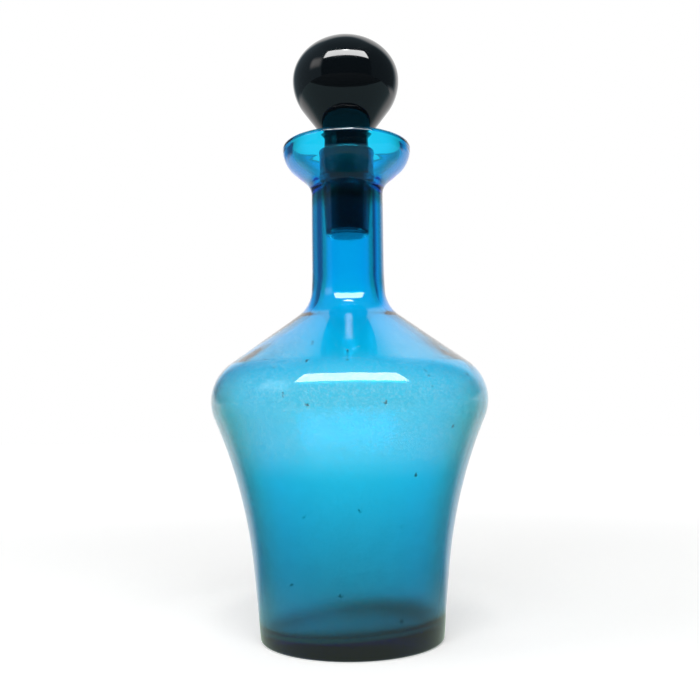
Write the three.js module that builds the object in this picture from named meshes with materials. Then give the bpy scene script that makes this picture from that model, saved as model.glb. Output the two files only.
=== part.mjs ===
// A stoppered carafe of blown blue glass. The bottle has a flared body, a straight neck and a bowl-shaped
// mouth. The stopper is a dark glass ball on a pin, and the pin stands in a plastic plug sleeve.
//
// Millimetres, +Z up. The origin is the middle of the foot, on the surface that the bottle stands on.
// Every piece is turned about the Z axis, so each is an outline of radius against height.
import * as THREE from 'three';

// Bottle: the corners of its outside, before they are rounded
const bottleHeight = 230;
const footRadius = 41.8;
const waistRadius = 48.4;
const waistHeight = 67;
const shoulderRadius = 69.3;
const shoulderHeight = 115.7;
const neckFootRadius = 17.7;
const neckFootHeight = 152.4;
const neckRadius = 17;
const neckTaperLength = 15.6;
const cupRadius = 30.4;
const throatBelowRim = 20.1;
const cupSideLength = 8.7;

// Bottle: how far each corner is rounded
const footRounding = 1.4;
const waistSweep = 228;
const shoulderRounding = 21.3;
const neckFootRounding = 16;
const neckTaperRounding = 120;
const boreTaperRounding = 40;
const throatRounding = 9;
const throatInnerRounding = 5;
const cupRounding = 13.4;

// Bottle: how thick the glass is at each corner. Between two corners the wall tapers.
const footWall = 3.1;
const waistWall = 2.5;
const shoulderWall = 1.6;
const neckFootWall = 3.5;
const neckWall = 4.9;
const cupWall = 4.6;
const floorThickness = 4.2;
const floorRounding = 6;
const floorCrownRadius = 16;
const floorCrownRounding = 60;

// Bottle: the hollow pushed up under the foot
const restRingWidth = 9;
const pushUpHeight = 2.6;
const pushUpCrownRadius = 13;
const pushUpRounding = 24;

// Stopper: ball and stem
const ballRadius = 25.4;
const ballCrownHeight = 21;
const ballUnderHeight = 24;
const ballAboveSeat = 50;
const ballConeAngle = 37;
const stemRadius = 10.5;
const stemRounding = 4.5;
const stemFootRadius = 9.6;
const stemFootDepth = 12.2;
const stemFootRounding = 1.2;
const pinRadius = 7.7;
const pinRounding = 0.8;

// Stopper: plug sleeve
const collarRadius = 12.95;
const collarFootRadius = 12.45;
const collarHeight = 16;
const collarRounding = 1.6;
const collarFootRounding = 0.8;
const plugRadius = 11.5;
const plugTipRadius = 10.15;
const plugLength = 25.6;
const plugRounding = 1.2;
const plugFloor = 2.4;

// Room left between pieces that touch or turn in each other
const seatGap = 0.3;
const pinGap = 0.3;

// Fineness of the turned surfaces
const bottleFacets = 40;
const stopperFacets = 36;
const chordError = 0.1;

const radians = THREE.MathUtils.degToRad;

const corner = (radius, height, rounding = 0) => ({ at: new THREE.Vector2(radius, height), rounding });

// Points of an outline that runs through the corners, each one rounded by an arc of its own radius.
// Two arcs that would overlap on the side between them are made smaller, so that they share it.
function roundedOutline(corners) {
  const sides = corners.slice(1).map(({ at }, i) => at.clone().sub(corners[i].at));
  const turns = corners.map((_, i) => {
    if (i === 0 || i === corners.length - 1) return 0;
    return Math.atan2(sides[i - 1].cross(sides[i]), sides[i - 1].dot(sides[i]));
  });
  const wanted = corners.map(({ rounding }, i) => rounding * Math.tan(Math.abs(turns[i]) / 2));
  const room = sides.map((side, i) => {
    const taken = wanted[i] + wanted[i + 1];
    return taken > side.length() ? side.length() / taken : 1;
  });
  const points = [];
  corners.forEach(({ at, rounding }, i) => {
    if (rounding === 0) {
      points.push(at.clone());
      return;
    }
    const fitted = rounding * Math.min(room[i - 1], room[i]);
    const arriving = sides[i - 1].clone().normalize();
    const start = at.clone().addScaledVector(arriving, -fitted * Math.tan(Math.abs(turns[i]) / 2));
    const toCentre = new THREE.Vector2(-arriving.y, arriving.x).multiplyScalar(Math.sign(turns[i]) * fitted);
    const centre = start.clone().add(toCentre);
    const steps = arcSteps(fitted, Math.abs(turns[i]));
    for (let k = 0; k <= steps; k++) {
      points.push(start.clone().rotateAround(centre, (turns[i] * k) / steps));
    }
  });
  return points;
}

function arcSteps(radius, angle) {
  const stepAngle = 2 * Math.acos(Math.max(0.5, 1 - chordError / radius));
  return Math.max(1, Math.ceil(angle / stepAngle));
}

// Part of an ellipse about a centre, from one angle to another, measured from the outward radius.
function ellipseArc(centre, radiusAcross, radiusUp, fromAngle, toAngle) {
  const steps = arcSteps(Math.max(radiusAcross, radiusUp), Math.abs(toAngle - fromAngle));
  const arc = new THREE.EllipseCurve(
    centre.x, centre.y, radiusAcross, radiusUp, fromAngle, toAngle, toAngle < fromAngle,
  );
  return arc.getPoints(steps);
}

// The wall's inner corner, where the inner faces of two sides cross.
function innerCorner(first, second) {
  const across = second.start.clone().sub(first.start);
  const along = across.cross(second.direction) / first.direction.cross(second.direction);
  return first.start.clone().addScaledVector(first.direction, along);
}

// The inner face of one side, to the left of the outline as it runs upwards. The wall may taper along it.
function insetSide(from, to, wallAtFrom, wallAtTo) {
  const along = to.clone().sub(from).normalize();
  const inward = new THREE.Vector2(-along.y, along.x);
  const start = from.clone().addScaledVector(inward, wallAtFrom);
  const end = to.clone().addScaledVector(inward, wallAtTo);
  return { start, direction: end.sub(start).normalize() };
}

// The radius of a straight side at a height.
function radiusAtHeight(side, height) {
  return side.start.x + (side.direction.x / side.direction.y) * (height - side.start.y);
}

function turned(name, outline, facets, material) {
  const clean = outline.filter((point, i) => i === 0 || point.distanceTo(outline[i - 1]) > 1e-4);
  const geometry = new THREE.LatheGeometry(clean, facets);
  geometry.rotateX(Math.PI / 2);
  const mesh = new THREE.Mesh(geometry, material);
  mesh.name = name;
  return mesh;
}

// Bottle
const foot = new THREE.Vector2(footRadius, 0);
const waist = new THREE.Vector2(waistRadius, waistHeight);
const shoulder = new THREE.Vector2(shoulderRadius, shoulderHeight);
const neckFoot = new THREE.Vector2(neckFootRadius, neckFootHeight);
const neckTaper = new THREE.Vector2(neckRadius, neckFootHeight + neckTaperLength);
const throat = new THREE.Vector2(neckRadius, bottleHeight - throatBelowRim);
const cupSide = new THREE.Vector2(cupRadius, bottleHeight - cupSideLength);
const cupTop = new THREE.Vector2(cupRadius, bottleHeight);

const innerFootSide = insetSide(foot, waist, footWall, waistWall);
const innerFlank = insetSide(waist, shoulder, waistWall, shoulderWall);
const innerSlope = insetSide(shoulder, neckFoot, shoulderWall, neckFootWall);
const innerNeckFootSide = insetSide(neckFoot, neckTaper, neckFootWall, neckWall);
const innerNeck = insetSide(neckTaper, throat, neckWall, neckWall);
const innerBowl = insetSide(throat, cupSide, cupWall, cupWall);
const innerBowlSide = insetSide(cupSide, cupTop, cupWall, cupWall);

const innerWaist = innerCorner(innerFootSide, innerFlank);
const innerShoulder = innerCorner(innerFlank, innerSlope);
const innerNeckFoot = innerCorner(innerSlope, innerNeckFootSide);
const innerNeckTaper = innerCorner(innerNeckFootSide, innerNeck);
const innerThroat = innerCorner(innerNeck, innerBowl);
const innerCupSide = innerCorner(innerBowl, innerBowlSide);
const boreRadius = neckRadius - neckWall;

function bottle(material) {
  const lipRounding = cupWall / 2;
  const ringInside = footRadius - restRingWidth;
  const floorCrownHeight = pushUpHeight + floorThickness;
  const outside = roundedOutline([
    corner(0, pushUpHeight),
    corner(pushUpCrownRadius, pushUpHeight, pushUpRounding),
    corner(ringInside, 0),
    corner(foot.x, foot.y, footRounding),
    corner(waist.x, waist.y, waistSweep),
    corner(shoulder.x, shoulder.y, shoulderRounding),
    corner(neckFoot.x, neckFoot.y, neckFootRounding),
    corner(neckTaper.x, neckTaper.y, neckTaperRounding),
    corner(throat.x, throat.y, throatRounding),
    corner(cupSide.x, cupSide.y, cupRounding),
    corner(cupRadius, bottleHeight - lipRounding),
  ]);
  const lipCentre = new THREE.Vector2(cupRadius - lipRounding, bottleHeight - lipRounding);
  const lipOutside = ellipseArc(lipCentre, lipRounding, lipRounding, 0, Math.PI / 2);
  const lipInside = ellipseArc(lipCentre, lipRounding, lipRounding, Math.PI / 2, Math.PI);
  const inside = roundedOutline([
    corner(cupRadius - cupWall, bottleHeight - lipRounding),
    corner(innerCupSide.x, innerCupSide.y, cupRounding - cupWall),
    corner(innerThroat.x, innerThroat.y, throatInnerRounding),
    corner(innerNeckTaper.x, innerNeckTaper.y, boreTaperRounding),
    corner(innerNeckFoot.x, innerNeckFoot.y, neckFootRounding + neckFootWall),
    corner(innerShoulder.x, innerShoulder.y, shoulderRounding - shoulderWall),
    corner(innerWaist.x, innerWaist.y, waistSweep),
    corner(radiusAtHeight(innerFootSide, floorThickness), floorThickness, floorRounding),
    corner(floorCrownRadius, floorCrownHeight, floorCrownRounding),
    corner(0, floorCrownHeight),
  ]);
  return turned('bottle', [...outside, ...lipOutside, ...lipInside, ...inside], bottleFacets, material);
}

// The collar's rounded lower edge rests on the rounded throat, so their two arcs nearly touch.
const throatTurn = Math.PI / 2 - Math.atan2(innerBowl.direction.y, innerBowl.direction.x);
const throatArc = new THREE.Vector2(
  boreRadius + throatInnerRounding,
  innerThroat.y - throatInnerRounding * Math.tan(throatTurn / 2),
);
const collarEdgeRadius = collarFootRadius - collarFootRounding;
const arcsApart = throatInnerRounding + collarFootRounding + seatGap;
const seatHeight = throatArc.y + Math.sqrt(arcsApart ** 2 - (throatArc.x - collarEdgeRadius) ** 2)
  - collarFootRounding;

// Plug sleeve
const collarTop = seatHeight + collarHeight;
const plugBottom = seatHeight - plugLength;
const stemFootHeight = collarTop - stemFootDepth;
const pinBottom = plugBottom + plugFloor + pinGap;

function plugSleeve(material) {
  const mouthRadius = stemRadius + pinGap;
  const socketRadius = stemFootRadius + pinGap;
  const holeRadius = pinRadius + pinGap;
  const outline = roundedOutline([
    corner(0, plugBottom),
    corner(plugTipRadius, plugBottom, plugRounding),
    corner(plugRadius, seatHeight),
    corner(collarFootRadius, seatHeight, collarFootRounding),
    corner(collarRadius, collarTop, collarRounding),
    corner(mouthRadius, collarTop),
    corner(socketRadius, stemFootHeight - pinGap),
    corner(holeRadius, stemFootHeight - pinGap),
    corner(holeRadius, plugBottom + plugFloor),
    corner(0, plugBottom + plugFloor),
  ]);
  return turned('stopper_sleeve', outline, stopperFacets, material);
}

// Ball, stem and pin
function ballStopper(material) {
  const ballHeight = seatHeight + ballAboveSeat;
  const centre = new THREE.Vector2(0, ballHeight);
  const coneSlope = Math.tan(radians(ballConeAngle));
  const coneStart = -Math.atan(coneSlope * (ballUnderHeight / ballRadius));
  const coneTop = new THREE.Vector2(
    ballRadius * Math.cos(coneStart), ballHeight + ballUnderHeight * Math.sin(coneStart),
  );
  const coneFootHeight = coneTop.y - (coneTop.x - stemRadius) / coneSlope;
  const stem = roundedOutline([
    corner(0, pinBottom),
    corner(pinRadius, pinBottom, pinRounding),
    corner(pinRadius, stemFootHeight),
    corner(stemFootRadius, stemFootHeight, stemFootRounding),
    corner(stemRadius, collarTop),
    corner(stemRadius, coneFootHeight, stemRounding),
    corner(coneTop.x, coneTop.y),
  ]);
  const underside = ellipseArc(centre, ballRadius, ballUnderHeight, coneStart, 0);
  const crown = ellipseArc(centre, ballRadius, ballCrownHeight, 0, Math.PI / 2);
  crown[crown.length - 1].x = 0;
  return turned('stopper_ball', [...stem, ...underside, ...crown], stopperFacets, material);
}

const blueGlass = new THREE.MeshStandardMaterial({
  color: 0x0f93c4, roughness: 0.05, metalness: 0, transparent: true, opacity: 0.45, name: 'blown_blue_glass',
});
const darkGlass = new THREE.MeshStandardMaterial({
  color: 0x0c0e12, roughness: 0.06, metalness: 0, name: 'dark_solid_glass',
});
const smokePlastic = new THREE.MeshStandardMaterial({
  color: 0x3b3f42, roughness: 0.35, metalness: 0, name: 'smoke_grey_plastic',
});

const carafe = new THREE.Group();
const stopper = new THREE.Group();
stopper.add(plugSleeve(smokePlastic), ballStopper(darkGlass));
carafe.add(bottle(blueGlass), stopper);

export default carafe;
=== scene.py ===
"""A stoppered carafe of blown blue glass, with a near-black glass ball on a grey plastic plug.

Every piece is turned about the upright axis. A Geometry Nodes tree turns each outline into its piece, and
gives the blown bottle its slightly uneven wall and its tilted floor.
"""
import math
from types import SimpleNamespace

import bpy
from mathutils import Matrix, Vector


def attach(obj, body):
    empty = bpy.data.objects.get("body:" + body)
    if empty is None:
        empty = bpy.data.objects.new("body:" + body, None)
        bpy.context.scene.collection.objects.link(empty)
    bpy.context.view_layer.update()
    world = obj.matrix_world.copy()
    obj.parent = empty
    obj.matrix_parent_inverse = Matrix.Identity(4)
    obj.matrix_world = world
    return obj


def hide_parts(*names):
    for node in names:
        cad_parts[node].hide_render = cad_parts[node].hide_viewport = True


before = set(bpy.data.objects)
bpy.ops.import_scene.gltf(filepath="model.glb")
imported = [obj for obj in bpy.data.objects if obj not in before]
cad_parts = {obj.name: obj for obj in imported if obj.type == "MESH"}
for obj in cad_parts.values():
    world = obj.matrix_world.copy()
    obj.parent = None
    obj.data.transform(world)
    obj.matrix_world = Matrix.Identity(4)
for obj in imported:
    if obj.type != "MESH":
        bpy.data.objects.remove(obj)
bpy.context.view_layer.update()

MM = 0.001

# Bottle: the corners of its outside, before they are rounded, in millimetres
BOTTLE_HEIGHT = 230
FOOT_RADIUS = 41.8
WAIST_RADIUS = 48.4
WAIST_HEIGHT = 67
SHOULDER_RADIUS = 69.3
SHOULDER_HEIGHT = 115.7
NECK_FOOT_RADIUS = 17.7
NECK_FOOT_HEIGHT = 152.4
NECK_RADIUS = 17
NECK_TAPER_LENGTH = 15.6
CUP_RADIUS = 30.4
THROAT_BELOW_RIM = 20.1
CUP_SIDE_LENGTH = 8.7

# Bottle: how far each corner is rounded
FOOT_ROUNDING = 1.4
WAIST_SWEEP = 228
SHOULDER_ROUNDING = 21.3
NECK_FOOT_ROUNDING = 16
NECK_TAPER_ROUNDING = 120
BORE_TAPER_ROUNDING = 40
THROAT_ROUNDING = 9
THROAT_INNER_ROUNDING = 5
CUP_ROUNDING = 13.4

# Bottle: how thick the glass is at each corner
FOOT_WALL = 3.1
WAIST_WALL = 2.5
SHOULDER_WALL = 1.6
NECK_FOOT_WALL = 3.5
NECK_WALL = 4.9
CUP_WALL = 4.6
FLOOR_THICKNESS = 4.2
FLOOR_ROUNDING = 6
FLOOR_CROWN_RADIUS = 16
FLOOR_CROWN_ROUNDING = 60

# Bottle: the hollow pushed up under the foot
REST_RING_WIDTH = 9
PUSH_UP_HEIGHT = 2.6
PUSH_UP_CROWN_RADIUS = 13
PUSH_UP_ROUNDING = 24

# Bottle: what hand blowing leaves, a wave in both faces of the wall and a floor that rises to one side
OUTER_WAVE = 0.16
OUTER_WAVE_STARTS = 4
OUTER_WAVE_FULL = 16
INNER_WAVE = 0.5
INNER_WAVE_FADE = 20
INNER_WAVE_FULL_RADIUS = 8
WAVE_LENGTH = 28
WAVE_SEED = 3.0
FLOOR_RISE_RIGHT = 0.055
FLOOR_RISE_FRONT = 0.05
FLOOR_SLOPE = (FLOOR_RISE_RIGHT, -FLOOR_RISE_FRONT, 0)
TILT_FULL_BELOW = 12
TILT_GONE_ABOVE = 34

# Stopper: ball and stem
BALL_RADIUS = 25.4
BALL_CROWN_HEIGHT = 21
BALL_UNDER_HEIGHT = 24
BALL_ABOVE_SEAT = 50
BALL_CONE_ANGLE = 37
STEM_RADIUS = 10.5
STEM_ROUNDING = 4.5
STEM_TAPER_ROUNDING = 30
STEM_FOOT_RADIUS = 9.6
STEM_FOOT_DEPTH = 12.2
STEM_FOOT_ROUNDING = 1.2
PIN_RADIUS = 7.7
PIN_ROUNDING = 0.8
PIN_ROOT_ROUNDING = 0.3

# Stopper: plug sleeve
COLLAR_RADIUS = 12.95
COLLAR_FOOT_RADIUS = 12.45
COLLAR_HEIGHT = 16
COLLAR_ROUNDING = 1.6
COLLAR_FOOT_ROUNDING = 0.8
PLUG_RADIUS = 11.5
PLUG_TIP_RADIUS = 10.15
PLUG_LENGTH = 25.6
PLUG_ROUNDING = 1.2
PLUG_ROOT_ROUNDING = 0.4
PLUG_FLOOR = 2.4
SOCKET_LIP_ROUNDING = 0.3

# Room left between pieces that touch or turn in each other
SEAT_GAP = 0.3
PIN_GAP = 0.3

# Fineness of the turned surfaces
CHORD_ERROR = 0.008
FEWEST_ARC_STEPS = 3
LONGEST_STEP = 3.0
TINY_LENGTH = 0.001
MERGE_DISTANCE = 0.002
TURNS = 160
SHARP_ANGLE = 32


# Outlines: radius against height, in millimetres

def side_moved_in(start, end, wall, end_wall):
    """The inner face of one side, left of the outline as it runs upwards: a place on it and its way."""
    along = (end - start).normalized()
    inwards = Vector((-along.y, along.x))
    inner_start = start + inwards * wall
    inner_end = end + inwards * end_wall
    return inner_start, (inner_end - inner_start).normalized()


def crossing(first_side, second_side):
    """The wall's inner corner, where the inner faces of two sides cross."""
    first, first_along = first_side
    second, second_along = second_side
    reach = (second - first).cross(second_along) / first_along.cross(second_along)
    return first + first_along * reach


def arc_steps(radius, angle):
    """How many steps keep the chords of an arc within the chord error."""
    if radius <= CHORD_ERROR:
        return FEWEST_ARC_STEPS
    step = 2 * math.acos(1 - CHORD_ERROR / radius)
    return max(FEWEST_ARC_STEPS, math.ceil(angle / step))


def rounded_outline(corners):
    """Points of an outline through corners of (radius, height, rounding).

    Two arcs that would overlap on the side between them are made smaller, so that they share it.
    """
    places = [Vector(corner[:2]) for corner in corners]
    sides = [after - before for before, after in zip(places, places[1:])]
    bends = [math.atan2(before.cross(after), before.dot(after)) for before, after in zip(sides, sides[1:])]
    turns = [0.0, *bends, 0.0]
    wanted = [corner[2] * math.tan(abs(turn) / 2) for corner, turn in zip(corners, turns)]
    room = [min(1.0, side.length / max(sum(wanted[i:i + 2]), TINY_LENGTH)) for i, side in enumerate(sides)]
    points = [places[0]]
    for i in range(1, len(corners) - 1):
        rounding = corners[i][2] * min(room[i - 1], room[i])
        if rounding == 0:
            points.append(places[i])
            continue
        arriving = sides[i - 1].normalized()
        start = places[i] - arriving * rounding * math.tan(abs(turns[i]) / 2)
        centre = start + Vector((-arriving.y, arriving.x)) * math.copysign(rounding, turns[i])
        steps = arc_steps(rounding, abs(turns[i]))
        for k in range(steps + 1):
            points.append(centre + Matrix.Rotation(turns[i] * k / steps, 2) @ (start - centre))
    return points + [places[-1]]


def ellipse_arc(centre, across, up, start, end):
    """Points of an ellipse from one angle to another."""
    steps = arc_steps(max(across, up), abs(end - start))
    angles = [start + (end - start) * k / steps for k in range(steps + 1)]
    return [centre + Vector((across * math.cos(a), up * math.sin(a))) for a in angles]


def evenly_divided(points):
    """The same outline, with no step longer than the longest one allowed and no two points alike."""
    divided = [points[0]]
    for point in points[1:]:
        last = divided[-1]
        length = (point - last).length
        if length < TINY_LENGTH:
            continue
        pieces = math.ceil(length / LONGEST_STEP)
        divided += [last.lerp(point, k / pieces) for k in range(1, pieces + 1)]
    return divided


foot = Vector((FOOT_RADIUS, 0))
waist = Vector((WAIST_RADIUS, WAIST_HEIGHT))
shoulder = Vector((SHOULDER_RADIUS, SHOULDER_HEIGHT))
neck_foot = Vector((NECK_FOOT_RADIUS, NECK_FOOT_HEIGHT))
neck_taper = Vector((NECK_RADIUS, NECK_FOOT_HEIGHT + NECK_TAPER_LENGTH))
throat = Vector((NECK_RADIUS, BOTTLE_HEIGHT - THROAT_BELOW_RIM))
cup_side = Vector((CUP_RADIUS, BOTTLE_HEIGHT - CUP_SIDE_LENGTH))
cup_top = Vector((CUP_RADIUS, BOTTLE_HEIGHT))

# The sides between those corners, each with the wall at its start and its end
corners = [foot, waist, shoulder, neck_foot, neck_taper, throat, cup_side, cup_top]
side_walls = [
    (FOOT_WALL, WAIST_WALL), (WAIST_WALL, SHOULDER_WALL), (SHOULDER_WALL, NECK_FOOT_WALL),
    (NECK_FOOT_WALL, NECK_WALL), (NECK_WALL, NECK_WALL), (CUP_WALL, CUP_WALL), (CUP_WALL, CUP_WALL),
]
inner_sides = [side_moved_in(*ends, *walls) for *ends, walls in zip(corners, corners[1:], side_walls)]
inner_foot_side = inner_sides[0]
inner_bowl = inner_sides[5]
inner_waist, inner_shoulder, inner_neck_foot, inner_neck_taper, inner_throat, inner_cup_side = [
    crossing(below, above) for below, above in zip(inner_sides, inner_sides[1:])
]


def bottle_outlines():
    """The outside, from under the foot to the lip's middle, and the inside, from there to the floor."""
    lip_rounding = CUP_WALL / 2
    lip_centre = Vector((CUP_RADIUS - lip_rounding, BOTTLE_HEIGHT - lip_rounding))
    floor_crown_height = PUSH_UP_HEIGHT + FLOOR_THICKNESS
    inner_foot, inner_along = inner_foot_side
    floor_radius = inner_foot.x + inner_along.x / inner_along.y * (FLOOR_THICKNESS - inner_foot.y)
    outside = rounded_outline([
        (0, PUSH_UP_HEIGHT, 0),
        (PUSH_UP_CROWN_RADIUS, PUSH_UP_HEIGHT, PUSH_UP_ROUNDING),
        (FOOT_RADIUS - REST_RING_WIDTH, 0, 0),
        (*foot, FOOT_ROUNDING),
        (*waist, WAIST_SWEEP),
        (*shoulder, SHOULDER_ROUNDING),
        (*neck_foot, NECK_FOOT_ROUNDING),
        (*neck_taper, NECK_TAPER_ROUNDING),
        (*throat, THROAT_ROUNDING),
        (*cup_side, CUP_ROUNDING),
        (CUP_RADIUS, BOTTLE_HEIGHT - lip_rounding, 0),
    ]) + ellipse_arc(lip_centre, lip_rounding, lip_rounding, 0, math.pi / 2)
    inside = ellipse_arc(lip_centre, lip_rounding, lip_rounding, math.pi / 2, math.pi) + rounded_outline([
        (CUP_RADIUS - CUP_WALL, BOTTLE_HEIGHT - lip_rounding, 0),
        (*inner_cup_side, CUP_ROUNDING - CUP_WALL),
        (*inner_throat, THROAT_INNER_ROUNDING),
        (*inner_neck_taper, BORE_TAPER_ROUNDING),
        (*inner_neck_foot, NECK_FOOT_ROUNDING + NECK_FOOT_WALL),
        (*inner_shoulder, SHOULDER_ROUNDING - SHOULDER_WALL),
        (*inner_waist, WAIST_SWEEP),
        (floor_radius, FLOOR_THICKNESS, FLOOR_ROUNDING),
        (FLOOR_CROWN_RADIUS, floor_crown_height, FLOOR_CROWN_ROUNDING),
        (0, floor_crown_height, 0),
    ])
    return evenly_divided(outside), evenly_divided(inside)


def seat_height():
    """Where the collar's rounded edge rests on the rounded throat, so that the two arcs nearly touch."""
    bore_radius = NECK_RADIUS - NECK_WALL
    along = inner_bowl[1]
    turn = math.pi / 2 - math.atan2(along.y, along.x)
    arc_radius = bore_radius + THROAT_INNER_ROUNDING
    arc_height = inner_throat.y - THROAT_INNER_ROUNDING * math.tan(turn / 2)
    edge_radius = COLLAR_FOOT_RADIUS - COLLAR_FOOT_ROUNDING
    apart = THROAT_INNER_ROUNDING + COLLAR_FOOT_ROUNDING + SEAT_GAP
    return arc_height + math.sqrt(apart ** 2 - (arc_radius - edge_radius) ** 2) - COLLAR_FOOT_ROUNDING


SEAT = seat_height()
COLLAR_TOP = SEAT + COLLAR_HEIGHT
PLUG_BOTTOM = SEAT - PLUG_LENGTH
STEM_FOOT_HEIGHT = COLLAR_TOP - STEM_FOOT_DEPTH
PIN_BOTTOM = PLUG_BOTTOM + PLUG_FLOOR + PIN_GAP


def sleeve_outline():
    """The plug and its collar, with the stepped hole that the stem and the pin go down."""
    hole_radius = PIN_RADIUS + PIN_GAP
    socket_floor = STEM_FOOT_HEIGHT - PIN_GAP
    return evenly_divided(rounded_outline([
        (0, PLUG_BOTTOM, 0),
        (PLUG_TIP_RADIUS, PLUG_BOTTOM, PLUG_ROUNDING),
        (PLUG_RADIUS, SEAT, PLUG_ROOT_ROUNDING),
        (COLLAR_FOOT_RADIUS, SEAT, COLLAR_FOOT_ROUNDING),
        (COLLAR_RADIUS, COLLAR_TOP, COLLAR_ROUNDING),
        (STEM_RADIUS + PIN_GAP, COLLAR_TOP, SOCKET_LIP_ROUNDING),
        (STEM_FOOT_RADIUS + PIN_GAP, socket_floor, 0),
        (hole_radius, socket_floor, 0),
        (hole_radius, PLUG_BOTTOM + PLUG_FLOOR, 0),
        (0, PLUG_BOTTOM + PLUG_FLOOR, 0),
    ]))


def ball_outline():
    """The pin, the stem, the cone that widens from it and the ball, whose crown is a little flat."""
    ball_height = SEAT + BALL_ABOVE_SEAT
    centre = Vector((0, ball_height))
    slope = math.tan(math.radians(BALL_CONE_ANGLE))
    cone_start = -math.atan(slope * BALL_UNDER_HEIGHT / BALL_RADIUS)
    underside = ellipse_arc(centre, BALL_RADIUS, BALL_UNDER_HEIGHT, cone_start, 0)
    cone_top = underside[0]
    cone_foot_height = cone_top.y - (cone_top.x - STEM_RADIUS) / slope
    stem = rounded_outline([
        (0, PIN_BOTTOM, 0),
        (PIN_RADIUS, PIN_BOTTOM, PIN_ROUNDING),
        (PIN_RADIUS, STEM_FOOT_HEIGHT, PIN_ROOT_ROUNDING),
        (STEM_FOOT_RADIUS, STEM_FOOT_HEIGHT, STEM_FOOT_ROUNDING),
        (STEM_RADIUS, COLLAR_TOP, STEM_TAPER_ROUNDING),
        (STEM_RADIUS, cone_foot_height, STEM_ROUNDING),
        (*cone_top, 0),
    ])
    crown = ellipse_arc(centre, BALL_RADIUS, BALL_CROWN_HEIGHT, 0, math.pi / 2)
    crown[-1].x = 0  # exactly on the axis, so that the pole closes
    return evenly_divided(stem + underside + crown)


# Nodes

# The Mix node's inputs, by number: it has a pair of them for each kind of value
FLOAT_A = 2
FLOAT_B = 3
COLOUR_A = 6
COLOUR_B = 7

WHITE = "#FFFFFF"
BLACK = "#000000"


def add_node(tree, kind, inputs=None, **settings):
    """Add a node with its settings. Each input is a value, or the socket or node that feeds it.

    A node feeds it from the first output that its settings leave in use.
    """
    node = tree.nodes.new(kind)
    for name, value in settings.items():
        setattr(node, name, value)
    for socket, value in (inputs or {}).items():
        if isinstance(value, bpy.types.Node):
            value = next(output for output in value.outputs if output.enabled)
        if isinstance(value, bpy.types.NodeSocket):
            tree.links.new(value, node.inputs[socket])
        else:
            node.inputs[socket].default_value = value
    return node


def linear(hex_colour, alpha=1.0):
    """An sRGB hex colour as the linear colour that a shader takes."""
    levels = [int(hex_colour[i:i + 2], 16) / 255 for i in (1, 3, 5)]
    return (*[v / 12.92 if v <= 0.04045 else ((v + 0.055) / 1.055) ** 2.4 for v in levels], alpha)


def softly_within(tree, value, middle, half, edge):
    """1 where the value is within half of the middle, falling softly to 0 over the edge."""
    offset = add_node(tree, "ShaderNodeMath", {0: value, 1: middle}, operation="SUBTRACT")
    distance = add_node(tree, "ShaderNodeMath", {0: offset}, operation="ABSOLUTE")
    return add_node(tree, "ShaderNodeMapRange", {
        "Value": distance, "From Min": half + edge / 2, "From Max": half - edge / 2,
    }, interpolation_type="SMOOTHSTEP")


def new_material(name):
    """An empty material and its node tree."""
    material = bpy.data.materials.new(name)
    material.use_nodes = True
    tree = material.node_tree
    tree.nodes.clear()
    return material, tree


def add_object(name, data):
    """An object in the scene, at the origin."""
    thing = bpy.data.objects.new(name, data)
    bpy.context.scene.collection.objects.link(thing)
    return thing


# Turning an outline into a piece

def outline_grid(tree, given):
    """A flat grid with a column for each point of the outline and a row for each step of the turn.

    It comes with the outline's point and the turn's angle at each of its own points.
    """
    points = add_node(tree, "GeometryNodeAttributeDomainSize", {"Geometry": given["Outline"]})
    steps = add_node(tree, "ShaderNodeMath", {0: points, 1: 1.0}, operation="SUBTRACT")
    rings = add_node(tree, "ShaderNodeMath", {0: given["Turns"], 1: 1.0}, operation="ADD")
    grid = add_node(tree, "GeometryNodeMeshGrid", {
        "Size X": steps, "Size Y": given["Turns"], "Vertices X": points, "Vertices Y": rings,
    })
    position = add_node(tree, "GeometryNodeInputPosition")
    axes = add_node(tree, "ShaderNodeSeparateXYZ", {0: position}).outputs
    half_steps = add_node(tree, "ShaderNodeMath", {0: steps, 1: 0.5}, operation="MULTIPLY")
    along = add_node(tree, "ShaderNodeMath", {0: axes["X"], 1: half_steps}, operation="ADD")
    index = add_node(tree, "FunctionNodeFloatToInt", {0: along}, rounding_mode="ROUND")
    share = add_node(tree, "ShaderNodeMath", {0: axes["Y"], 1: given["Turns"]}, operation="DIVIDE")
    angle = add_node(tree, "ShaderNodeMath", {0: share, 1: math.tau}, operation="MULTIPLY")
    return grid, index, angle


def waved_place(tree, given, place, push):
    """The place moved along its push by a wave that runs through the whole glass."""
    waves = add_node(tree, "ShaderNodeMath", {0: 1.0, 1: given["Wave Length"]}, operation="DIVIDE")
    wave = add_node(tree, "ShaderNodeTexNoise", {
        "Vector": place, "W": given["Wave Seed"], "Scale": waves, "Detail": 1.5, "Roughness": 0.45,
    }, noise_dimensions="4D")
    return add_node(tree, "ShaderNodeVectorMath", {0: push, 1: wave, 2: place}, operation="MULTIPLY_ADD")


def leaning_place(tree, given, place, tilt):
    """The place raised by the floor's slope, as far as its tilt says."""
    axes = add_node(tree, "ShaderNodeSeparateXYZ", {0: place}).outputs
    rise = add_node(tree, "ShaderNodeVectorMath", {
        0: place, 1: given["Floor Slope"],
    }, operation="DOT_PRODUCT")
    height = add_node(tree, "ShaderNodeMath", {0: rise, 1: tilt, 2: axes["Z"]}, operation="MULTIPLY_ADD")
    return add_node(tree, "ShaderNodeCombineXYZ", {0: axes["X"], 1: axes["Y"], 2: height})


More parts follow.
